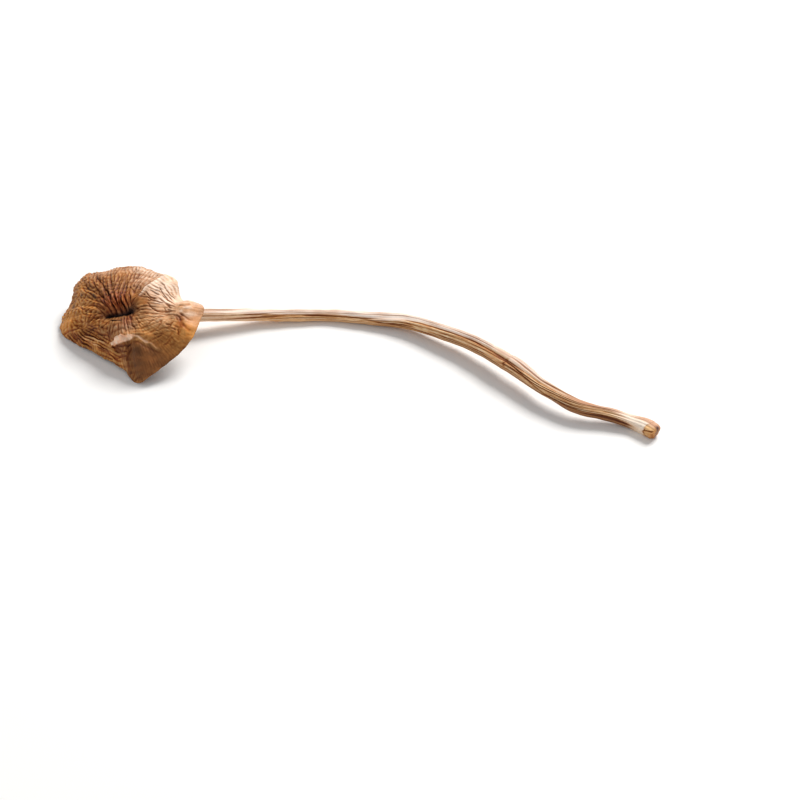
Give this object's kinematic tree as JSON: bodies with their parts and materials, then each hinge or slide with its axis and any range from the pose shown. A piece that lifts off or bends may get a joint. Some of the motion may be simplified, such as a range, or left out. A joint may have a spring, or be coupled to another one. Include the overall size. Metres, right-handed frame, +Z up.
{
  "type": "dried tea tree mushroom",
  "caption": "Whole dried mushroom lying on its side: a wrinkled domed cap with gills below it, and a long thin furrowed stem that bends sharply under the cap.",
  "frame": {"origin": "on the surface that the mushroom rests on, below the middle of its bounding box", "axes": "+X along the mushroom from the cap to the root end, +Z up, +Y towards the side where the stem bows out"},
  "size_m": [0.1594, 0.0554, 0.0157],
  "materials": {
    "cap_skin": "dry and finely wrinkled, matt to slightly leathery",
    "stem_skin": "dry, fibrous and furrowed lengthways, with pale ridges"
  },
  "bodies": {
    "root": {"cap": "cap_skin", "stem": "stem_skin"}
  },
  "joints": []
}
